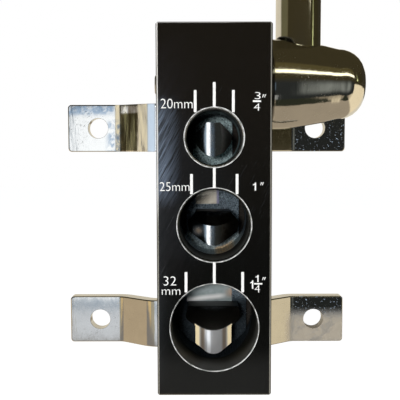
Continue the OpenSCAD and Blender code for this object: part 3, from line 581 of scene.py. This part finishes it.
def rim_bare():
    """The machined chamfer inside that line: bare steel with turning lines."""
    material, t, shader = finish("rim_bare")
    at = place_mm(t)
    _, _, z = parts(t, at)
    lines = noise(t, at, 1.2, 4.0, 0.7)
    colour = mixed(t, lines, (0.50, 0.52, 0.53, 1), (0.82, 0.84, 0.84, 1))
    # Painted shade: the chamfers of the two lower ports, below z = 30 to 36, are dark.
    colour = mixed(t, ramp(t, z, 36.0, 30.0), colour, (0.10, 0.105, 0.10, 1))
    feed(t, shader, Base_Color=colour, Metallic=1.0, Roughness=mix_value(t, lines, 0.2, 0.36),
         Normal=bump(t, lines, 0.00003, 0.6))
    return material


finishes = {
    "block_black": block_black(),
    "bright_chrome": bright_chrome(),
    "punch_steel": punch_steel(),
    "plunger_dark": plunger_dark(),
    "machined_steel": turned("machined_steel", (0.42, 0.43, 0.44, 1), (0.62, 0.63, 0.64, 1), 0.26,
                             (3.0, 0.1, 0.1)),
    "screw_steel": turned("screw_steel", (0.42, 0.43, 0.44, 1), (0.66, 0.67, 0.68, 1), 0.3,
                          (0.8, 0.8, 0.8)),
    "screw_black": turned("screw_black", (0.02, 0.02, 0.022, 1), (0.05, 0.05, 0.055, 1), 0.4,
                          (0.8, 0.8, 0.8)),
    "bush_bronze": turned("bush_bronze", (0.42, 0.26, 0.11, 1), (0.66, 0.46, 0.22, 1), 0.3,
                          (3.0, 0.1, 0.1)),
    "grip_rubber": grip_rubber(),
}
for cad in nodes.values():
    for holder in cad.material_slots:
        holder.material = finishes[holder.material.name]


# ---------------------------------------------------------------- new pieces

def piece_from(name, points, faces, material, body):
    """A mesh piece from points, x from the block's middle, and faces, riding on a body."""
    mesh = bpy.data.meshes.new(name)
    mesh.from_pydata(((np.asarray(points, float) + [BLOCK_X, 0.0, 0.0]) * MM).tolist(), [], faces)
    mesh.update()
    piece = bpy.data.objects.new(name, mesh)
    bpy.context.scene.collection.objects.link(piece)
    mesh.materials.append(material)
    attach(piece, body)
    return piece


def closed_grid(points):
    """Faces of a grid of points that closes on itself both ways, and the points as one list."""
    rows, cols, _ = points.shape
    at = np.arange(rows * cols).reshape(rows, cols)
    faces = np.stack([at, np.roll(at, -1, 1), np.roll(np.roll(at, -1, 0), -1, 1),
                      np.roll(at, -1, 0)], -1)
    return points.reshape(-1, 3), faces.reshape(-1, 4).tolist()


def mouth_band(name, height, outline, material):
    """A closed outline of (radius, y) pairs carried round a port's axis at that height.

    Point (t, k) is (radius k times sin t, y of k, height plus radius k times cos t).
    """
    turn = np.linspace(0.0, 2 * np.pi, 144, endpoint=False)[:, None]
    radius, y = np.array(outline).T
    points = np.stack([radius * np.sin(turn), y + 0.0 * turn, height + radius * np.cos(turn)], -1)
    flat, faces = closed_grid(points)
    piece = piece_from(name, flat, faces, material, "block")
    outward(piece)
    for polygon in piece.data.polygons:
        polygon.use_smooth = True
    return piece


def outward(piece):
    """Turns all faces of a closed mesh to point outwards."""
    work = bmesh.new()
    work.from_mesh(piece.data)
    bmesh.ops.recalc_face_normals(work, faces=work.faces)
    work.to_mesh(piece.data)
    work.free()


def make_mouths():
    """Round each port: the white line on the outer part of the chamfer, and the bare steel of
    the rest. Both lie 0.03 mm proud of the block's own chamfer."""
    white, bare = rim_white(), rim_bare()
    names = ("20", "25", "32")
    for label, (height, radius, chamfer, line) in zip(names, PORTS):
        lift, sink = 0.035, 0.08

        def on_chamfer(depth, off):
            """Point on the chamfer at that depth behind the face, moved off it by off."""
            return (radius + chamfer - depth - off * 0.707, FACE_Y + depth - off * 0.707)

        cut = min(line, chamfer) * 0.72
        mouth_band("rim_line_" + label, height,
                   [(radius + chamfer + 0.12, FACE_Y - lift),
                    (radius + chamfer - 0.02, FACE_Y - lift),
                    on_chamfer(cut, lift), on_chamfer(cut, -sink),
                    (radius + chamfer + 0.12, FACE_Y + sink)], white)
        mouth_band("rim_bare_" + label, height,
                   [on_chamfer(cut, lift * 0.6), on_chamfer(chamfer - 0.02, lift * 0.6),
                    on_chamfer(chamfer - 0.02, -sink), on_chamfer(cut, -sink)], bare)


def strip_outline(x0, x1, z0, z1, corner):
    """Outline of a rectangle with quarter-circle corners, anticlockwise."""
    quarter = np.linspace(0.0, np.pi / 2, 5)
    corners = [(x1 - corner, z1 - corner, 0.0), (x0 + corner, z1 - corner, 0.5 * np.pi),
               (x0 + corner, z0 + corner, np.pi), (x1 - corner, z0 + corner, 1.5 * np.pi)]
    return np.concatenate([np.stack([cx + corner * np.cos(quarter + start),
                                     cz + corner * np.sin(quarter + start)], -1)
                           for cx, cz, start in corners])


def prism(outline, y0, y1):
    """Points and faces of an outline in x and z drawn from y0 to y1."""
    n = len(outline)
    front = np.stack([outline[:, 0], np.full(n, y0), outline[:, 1]], -1)
    back = front + [0.0, y1 - y0, 0.0]
    ring = np.arange(n)
    sides = np.stack([ring, np.roll(ring, -1), np.roll(ring, -1) + n, ring + n], -1)
    faces = [ring.tolist(), (ring[::-1] + n).tolist()] + sides.tolist()
    return np.concatenate([front, back]), faces


def make_lines(material):
    """White lines above the ports: one on the middle and two at each pipe's width."""
    width = 1.34
    spans = [(0.0, 65.4, 77.4), (0.0, 26.6, 36.5), (0.0, -20.3, -9.6)]
    for x, top, port in ((9.15, 73.6, 0), (11.02, 33.4, 1), (13.82, -14.4, 2)):
        height, radius, chamfer, _ = PORTS[port]
        reach = radius + chamfer
        foot = height + math.sqrt(reach ** 2 - (x - width / 2) ** 2) + 0.05
        spans += [(-x, foot, top), (x, foot, top)]
    points, faces, count = [], [], 0
    for x, low, high in spans:
        some, sides = prism(strip_outline(x - width / 2, x + width / 2, low, high, 0.28),
                            FACE_Y - 0.045, FACE_Y + 0.02)
        points.append(some)
        faces += [[index + count for index in face] for face in sides]
        count += len(some)
    piece = piece_from("port_lines", np.concatenate(points), faces, material, "block")
    outward(piece)
    return piece


def make_figures(material):
    """Plain size figures: each is set in Blender's own sans-serif face, made a mesh, and fitted
    to its box of x and z on the front face."""
    bold = -0.011
    boxes = [
        ("20mm", -25.7, -10.4, 64.9, 69.5), ("25mm", -26.4, -12.0, 25.2, 29.5),
        ("32", -24.8, -18.6, -21.0, -16.5), ("mm", -25.65, -16.6, -25.6, -22.9),
        ("3", 19.35, 22.2, 69.2, 72.6), ("4", 18.95, 21.95, 63.8, 67.25),
        ("4", 19.65, 22.3, -24.5, -20.75),
    ]
    graph = bpy.context.evaluated_depsgraph_get
    joined = bmesh.new()
    for text, x0, x1, z0, z1 in boxes:
        curve = bpy.data.curves.new("figure", "FONT")
        curve.body = text
        curve.offset = bold
        curve.extrude = 0.01
        holder = bpy.data.objects.new("figure", curve)
        bpy.context.scene.collection.objects.link(holder)
        mesh = bpy.data.meshes.new_from_object(holder.evaluated_get(graph()))
        flat = np.empty(len(mesh.vertices) * 3)
        mesh.vertices.foreach_get("co", flat)
        flat = flat.reshape(-1, 3)
        low, high = flat.min(0), flat.max(0)
        share = (flat - low) / (high - low)
        placed = np.stack([BLOCK_X + x0 + (x1 - x0) * share[:, 0],
                           FACE_Y + 0.02 - 0.065 * share[:, 2],
                           z0 + (z1 - z0) * share[:, 1]], -1) * MM
        mesh.vertices.foreach_set("co", placed.ravel())
        joined.from_mesh(mesh)
        bpy.data.objects.remove(holder)
    slant = 0.36
    for x, top in ((23.7, 71.5), (24.65, 71.5), (22.9, 29.35), (23.75, 29.35), (24.05, -16.95),
                   (24.95, -16.95)):
        outline = np.array([(x + 0.22, top), (x - 0.34, top), (x - 0.34 - slant, top - 1.45),
                            (x - 0.04 - slant, top - 1.45)])
        add_prism(joined, outline)
    for x, z0, z1, thick in ((20.2, 25.35, 29.3, 0.68), (19.05, -22.7, -18.5, 0.68),
                             (21.6, -19.4, -15.9, 0.62)):
        tall = z1 - z0
        add_prism(joined, np.array([
            (x - thick, z0), (x, z0), (x, z1), (x - 0.45, z1), (x - 0.85, z1 - 0.16 * tall),
            (x - 1.5, z1 - 0.24 * tall), (x - 1.5, z1 - 0.36 * tall),
            (x - thick, z1 - 0.3 * tall)]))
    for x0, x1, z0, z1 in ((18.5, 22.45, 67.85, 68.7), (19.4, 23.5, -20.6, -19.85)):
        add_prism(joined, strip_outline(x0, x1, z0, z1, 0.15))
    mesh = bpy.data.meshes.new("size_figures")
    bmesh.ops.recalc_face_normals(joined, faces=joined.faces)
    joined.to_mesh(mesh)
    joined.free()
    mesh.materials.append(material)
    piece = bpy.data.objects.new("size_figures", mesh)
    bpy.context.scene.collection.objects.link(piece)
    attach(piece, "block")
    return piece


def add_prism(work, outline):
    """Adds a thin painted shape with that outline to an open bmesh."""
    points, faces = prism(outline, FACE_Y - 0.045, FACE_Y + 0.02)
    made = [work.verts.new(point) for point in ((points + [BLOCK_X, 0.0, 0.0]) * MM).tolist()]
    for face in faces:
        work.faces.new([made[index] for index in face])


def softened(node, width, material, holes):
    """A copy of a bent bar with its edges rounded. Doubles are merged and flat faces joined, and
    a Bevel rounds each edge sharper than 32 degrees: by width along the bar, and by a quarter
    of it round the holes, given as (x, z, radius). Normals are then weighted by face area, so
    that the flat faces stay flat mirrors."""
    work = bmesh.new()
    work.from_mesh(nodes[node].data)
    bmesh.ops.remove_doubles(work, verts=work.verts, dist=1e-6)
    bmesh.ops.dissolve_limit(work, angle_limit=math.radians(0.6), verts=work.verts,
                             edges=work.edges)
    weight = work.edges.layers.float.new("bevel_weight_edge")
    for edge in work.edges:
        if len(edge.link_faces) != 2 or edge.calc_face_angle() < math.radians(32):
            continue
        near = any(all(math.hypot(v.co.x / MM - x, v.co.z / MM - z) < radius + 0.5
                       for v in edge.verts) for x, z, radius in holes)
        edge[weight] = 0.22 if near else 1.0
    mesh = bpy.data.meshes.new(node + "_soft")
    work.to_mesh(mesh)
    work.free()
    mesh.materials.append(material)
    for polygon in mesh.polygons:
        polygon.use_smooth = True
    piece = bpy.data.objects.new(node + "_soft", mesh)
    bpy.context.scene.collection.objects.link(piece)
    rounding = piece.modifiers.new("rounding", "BEVEL")
    rounding.width = width * MM
    rounding.segments = 5
    rounding.limit_method = "WEIGHT"
    flats = piece.modifiers.new("flats", "WEIGHTED_NORMAL")
    flats.mode = "FACE_AREA"
    flats.weight = 100
    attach(piece, "block")
    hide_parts(node)
    return piece


def smoothed(node, body, material):
    """A copy of a turned piece shaded as one curve, with its edges over 30 degrees kept sharp."""
    work = bmesh.new()
    work.from_mesh(nodes[node].data)
    bmesh.ops.remove_doubles(work, verts=work.verts, dist=1e-6)
    mesh = bpy.data.meshes.new(node + "_smooth")
    work.to_mesh(mesh)
    work.free()
    mesh.materials.append(material)
    for polygon in mesh.polygons:
        polygon.use_smooth = True
    mesh.set_sharp_from_angle(angle=math.radians(30))
    piece = bpy.data.objects.new(node + "_smooth", mesh)
    bpy.context.scene.collection.objects.link(piece)
    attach(piece, body)
    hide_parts(node)
    return piece


make_mouths()
smoothed("hub", "lever", finishes["bright_chrome"])
white = mark_white()
make_lines(white)
make_figures(white)
for strap, level in (("upper_bracket", EAR_Z), ("lower_bracket", -EAR_Z)):
    softened(strap, 1.9, finishes["bright_chrome"],
             [(-EAR_X, level, EAR_HOLE), (EAR_X, level, EAR_HOLE),
              (BLOCK_X - BOLT_X, level, BOLT_HOLE), (BLOCK_X + BOLT_X, level, BOLT_HOLE)])


# ---------------------------------------------------------------- camera

def set_camera():
    """Camera 340 mm in front of the block's face, a little left of it, looking 4 degrees down.

    Its right, up and back directions are the columns of its matrix: yaw about Z, then pitch,
    then a slight roll about the line of sight.
    """
    pitch, yaw, roll = 0.0709, 0.0013, -0.0018
    ahead = np.array([math.sin(yaw) * math.cos(pitch), math.cos(yaw) * math.cos(pitch),
                      -math.sin(pitch)])
    right = np.array([math.cos(yaw), -math.sin(yaw), 0.0])
    up = np.cross(right, ahead)
    right, up = (math.cos(roll) * right + math.sin(roll) * up,
                 math.cos(roll) * up - math.sin(roll) * right)
    data = bpy.data.cameras.new("camera")
    data.sensor_width = 36.0
    data.lens = 704.2 / 400 * 36.0
    data.clip_start = 0.01
    camera = bpy.data.objects.new("camera", data)
    matrix = np.eye(4)
    matrix[:3, 0], matrix[:3, 1], matrix[:3, 2] = right, up, -ahead
    matrix[:3, 3] = np.array([BLOCK_X - 7.36, -432.0, 44.97]) * MM
    camera.matrix_world = Matrix(matrix.tolist())
    bpy.context.scene.collection.objects.link(camera)
    bpy.context.scene.camera = camera


# ---------------------------------------------------------------- floor, light and studio

def floor_tone(t, side):
    """What reflections see of the ground, by azimuth from -Y towards +X in degrees: khaki in
    front, tan on the left, cream on the right and pale beige behind."""
    left = mixed(t, ramp(t, side, -60.0, -40.0), (0.72, 0.56, 0.36, 1), (0.34, 0.28, 0.19, 1))
    right = mixed(t, ramp(t, side, 40.0, 60.0), (0.33, 0.27, 0.185, 1), (1.02, 0.86, 0.58, 1))
    tone = mixed(t, ramp(t, side, -2.0, 2.0), left, right)
    return mixed(t, ramp(t, calc(t, "ABSOLUTE", side), 120.0, 140.0), tone, (0.80, 0.73, 0.58, 1))


def azimuth(t, x, y):
    """Degrees from -Y towards +X."""
    return calc(t, "MULTIPLY", calc(t, "ARCTAN2", x, calc(t, "MULTIPLY", y, -1.0)), 57.2958)


def lay_floor():
    """A plain pale floor. To the camera it adds enough of its own light to reach white, and in
    reflections it is the ground of the room, dark beyond y = -270 on the right."""
    material = bpy.data.materials.new("floor_pale")
    material.use_nodes = True
    t = material.node_tree
    t.nodes.clear()
    ray = t.nodes.new("ShaderNodeLightPath")
    x, y, _ = parts(t, place_mm(t))
    matt = put(t, "ShaderNodeBsdfDiffuse", None, {"Color": (0.8, 0.79, 0.77, 1)})
    white = put(t, "ShaderNodeEmission", None,
                {"Color": (1, 1, 1, 1),
                 "Strength": calc(t, "MULTIPLY", ray.outputs["Is Camera Ray"], 0.86)})
    seen = put(t, "ShaderNodeAddShader", None, {0: matt, 1: white})
    aside = band(t, x, 20.0, 340.0, 30.0)
    tone = mixed(t, aside, floor_tone(t, azimuth(t, x, y)), (0.40, 0.33, 0.235, 1))
    tone = mixed(t, calc(t, "MULTIPLY", ramp(t, y, -262.0, -276.0), aside), tone,
                 (0.030, 0.032, 0.020, 1))
    mirrored = put(t, "ShaderNodeEmission", None, {"Color": tone})
    both = put(t, "ShaderNodeMixShader", None,
               {0: ray.outputs["Is Glossy Ray"], 1: seen, 2: mirrored})
    out = t.nodes.new("ShaderNodeOutputMaterial")
    t.links.new(both, out.inputs[0])
    mesh = bpy.data.meshes.new("floor")
    size, low = 6.0, -0.30
    corners = [(-size, -size, low), (size, -size, low), (size, size, low), (-size, size, low)]
    mesh.from_pydata(corners, [], [(0, 1, 2, 3)])
    mesh.materials.append(material)
    floor = bpy.data.objects.new("floor", mesh)
    bpy.context.scene.collection.objects.link(floor)


def hang_card():
    """A card behind the camera that only reflections see: a tall window on the left, a warm
    light above, a dark side for the unlit room and pale ground below. X and Z in millimetres."""
    material = bpy.data.materials.new("studio_card")
    material.use_nodes = True
    t = material.node_tree
    t.nodes.clear()
    x, _, z = parts(t, place_mm(t))
    colour = mixed(t, ramp(t, z, 60.0, 200.0), (0.026, 0.028, 0.026, 1), (0.050, 0.040, 0.018, 1))
    ragged = noise(t, put(t, "ShaderNodeCombineXYZ", None, {0: x, 2: calc(t, "MULTIPLY", z, 0.03)}),
                   0.13, 4.0, 0.7)
    z = calc(t, "ADD", z, calc(t, "MULTIPLY", ramp(t, z, 240.0, 380.0, 0.0, 230.0),
                               calc(t, "SUBTRACT", ragged, 0.45)))
    layers = [  # x0, x1, z0, z1, softness, colour
        (-900, -330, -240, -100, 40, (1.10, 0.80, 0.38, 1)),
        (-900, -420, 20, 130, 30, (0.16, 0.14, 0.08, 1)),
        (-560, -340, -75, -30, 12, (0.42, 0.30, 0.18, 1)),
        (250, 420, -150, 90, 85, (0.26, 0.27, 0.24, 1)),
        (-330, -175, -230, -130, 14, (0.62, 0.56, 0.42, 1)),
        (-240, -175, -130, 80, 14, (0.20, 0.26, 0.31, 1)),
        (-50, 75, -330, -171, 6, (0.36, 0.36, 0.34, 1)),
        (-50, 26, -62, 80, 12, (0.09, 0.12, 0.15, 1)),
        (-900, -45, -900, -196, 12, (0.34, 0.31, 0.28, 1)),
        (-178, -52, -200, -152, 4, (1.00, 1.04, 1.10, 1)),
        (-178, -52, -156, -144, 3, (0.34, 0.44, 0.56, 1)),
        (-178, -50, -146, 104, 4, (0.55, 0.66, 0.78, 1)),
        (-172, -60, -142, 104, 5, (1.75, 1.8, 1.85, 1)),
        (-20, 900, 380, 620, 40, (0.10, 0.08, 0.03, 1)),
        (-20, 900, 275, 365, 16, (2.3, 2.15, 1.5, 1)),
    ]
    for x0, x1, z0, z1, soft, tone in layers:
        colour = mixed(t, patch(t, x, z, (x0, x1, z0, z1), soft), colour, tone)
    glow = put(t, "ShaderNodeEmission", None, {"Color": colour, "Strength": 1.0})
    out = t.nodes.new("ShaderNodeOutputMaterial")
    t.links.new(glow, out.inputs[0])
    mesh = bpy.data.meshes.new("studio_card")
    y = -0.47
    mesh.from_pydata([(-0.7, y, -0.6), (-0.7, y, 0.7), (0.7, y, 0.7), (0.7, y, -0.6)], [],
                     [(0, 1, 2, 3)])
    mesh.materials.append(material)
    card = bpy.data.objects.new("studio_card", mesh)
    bpy.context.scene.collection.objects.link(card)
    card.visible_camera = False
    card.visible_diffuse = False
    card.visible_shadow = False
    card.visible_transmission = False


def light_room():
    """The world: white to the camera, an even grey for soft light, and for reflections a room
    that is dark overhead, brown on the left, olive on the right with one bright slit, and pale
    low down behind the object. Directions are azimuth, from -Y towards +X, and height, in
    degrees."""
    world = bpy.data.worlds.new("room")
    world.use_nodes = True
    bpy.context.scene.world = world
    t = world.node_tree
    t.nodes.clear()
    x, y, z = parts(t, put(t, "ShaderNodeTexCoord", out=0))
    side = azimuth(t, x, y)
    rise = calc(t, "MULTIPLY", calc(t, "ARCSINE", z), 57.2958)
    left = mixed(t, ramp(t, side, -70.0, -55.0), (0.15, 0.135, 0.07, 1), (0.10, 0.07, 0.03, 1))
    slit = calc(t, "MULTIPLY", band(t, side, 70.8, 74.6, 1.0),
                calc(t, "MULTIPLY", ramp(t, rise, 5.0, 7.5), ramp(t, rise, 8.0, 12.5, 1.0, 0.25)))
    right = mixed(t, slit, (0.040, 0.033, 0.014, 1), (1.3, 1.35, 0.62, 1))
    front = mixed(t, ramp(t, side, -2.0, 2.0), left, right)
    behind = mixed(t, ramp(t, side, 96.0, 100.0), (0.80, 0.72, 0.56, 1), (0.04, 0.034, 0.02, 1))
    behind = mixed(t, ramp(t, side, 155.0, 162.0), behind, (0.80, 0.72, 0.56, 1))
    room = mixed(t, ramp(t, calc(t, "ABSOLUTE", side), 100.0, 112.0), front, behind)
    room = mixed(t, ramp(t, rise, 16.0, 26.0), room, (0.050, 0.040, 0.018, 1))
    room = mixed(t, ramp(t, rise, -1.0, -2.5), room, floor_tone(t, side))
    ray = t.nodes.new("ShaderNodeLightPath")
    seen = mixed(t, ray.outputs["Is Glossy Ray"], (0.17, 0.175, 0.19, 1), room)
    seen = mixed(t, ray.outputs["Is Camera Ray"], seen, (1, 1, 1, 1))
    sky = put(t, "ShaderNodeBackground", None, {"Color": seen, "Strength": 1.0})
    out = t.nodes.new("ShaderNodeOutputWorld")
    t.links.new(sky, out.inputs[0])


def hang_lamp(name, place, aim, size, watts, mirrored):
    """A square soft lamp at place, facing aim. Only a mirrored one adds glints to metal."""
    data = bpy.data.lights.new(name, "AREA")
    data.size = size
    data.energy = watts
    lamp = bpy.data.objects.new(name, data)
    back = np.array(place, float) - np.array(aim, float)
    back /= np.linalg.norm(back)
    right = np.cross((0.0, 0.0, 1.0), back)
    right /= np.linalg.norm(right)
    matrix = np.eye(4)
    matrix[:3, 0], matrix[:3, 1], matrix[:3, 2] = right, np.cross(back, right), back
    matrix[:3, 3] = place
    lamp.matrix_world = Matrix(matrix.tolist())
    bpy.context.scene.collection.objects.link(lamp)
    lamp.visible_glossy = mirrored


set_camera()
lay_floor()
hang_card()
light_room()
hang_lamp("key", (-0.18, -1.15, 0.12), (0.0, -0.09, 0.0), 0.13, 9.5, False)
hang_lamp("soft_left", (-0.7, -1.1, 0.9), (0.0, -0.05, 0.05), 0.7, 2.2, False)
hang_lamp("soft_right", (1.0, -0.9, 0.5), (0.0, -0.05, 0.05), 0.8, 1.8, False)
bpy.context.scene.view_settings.view_transform = "Standard"
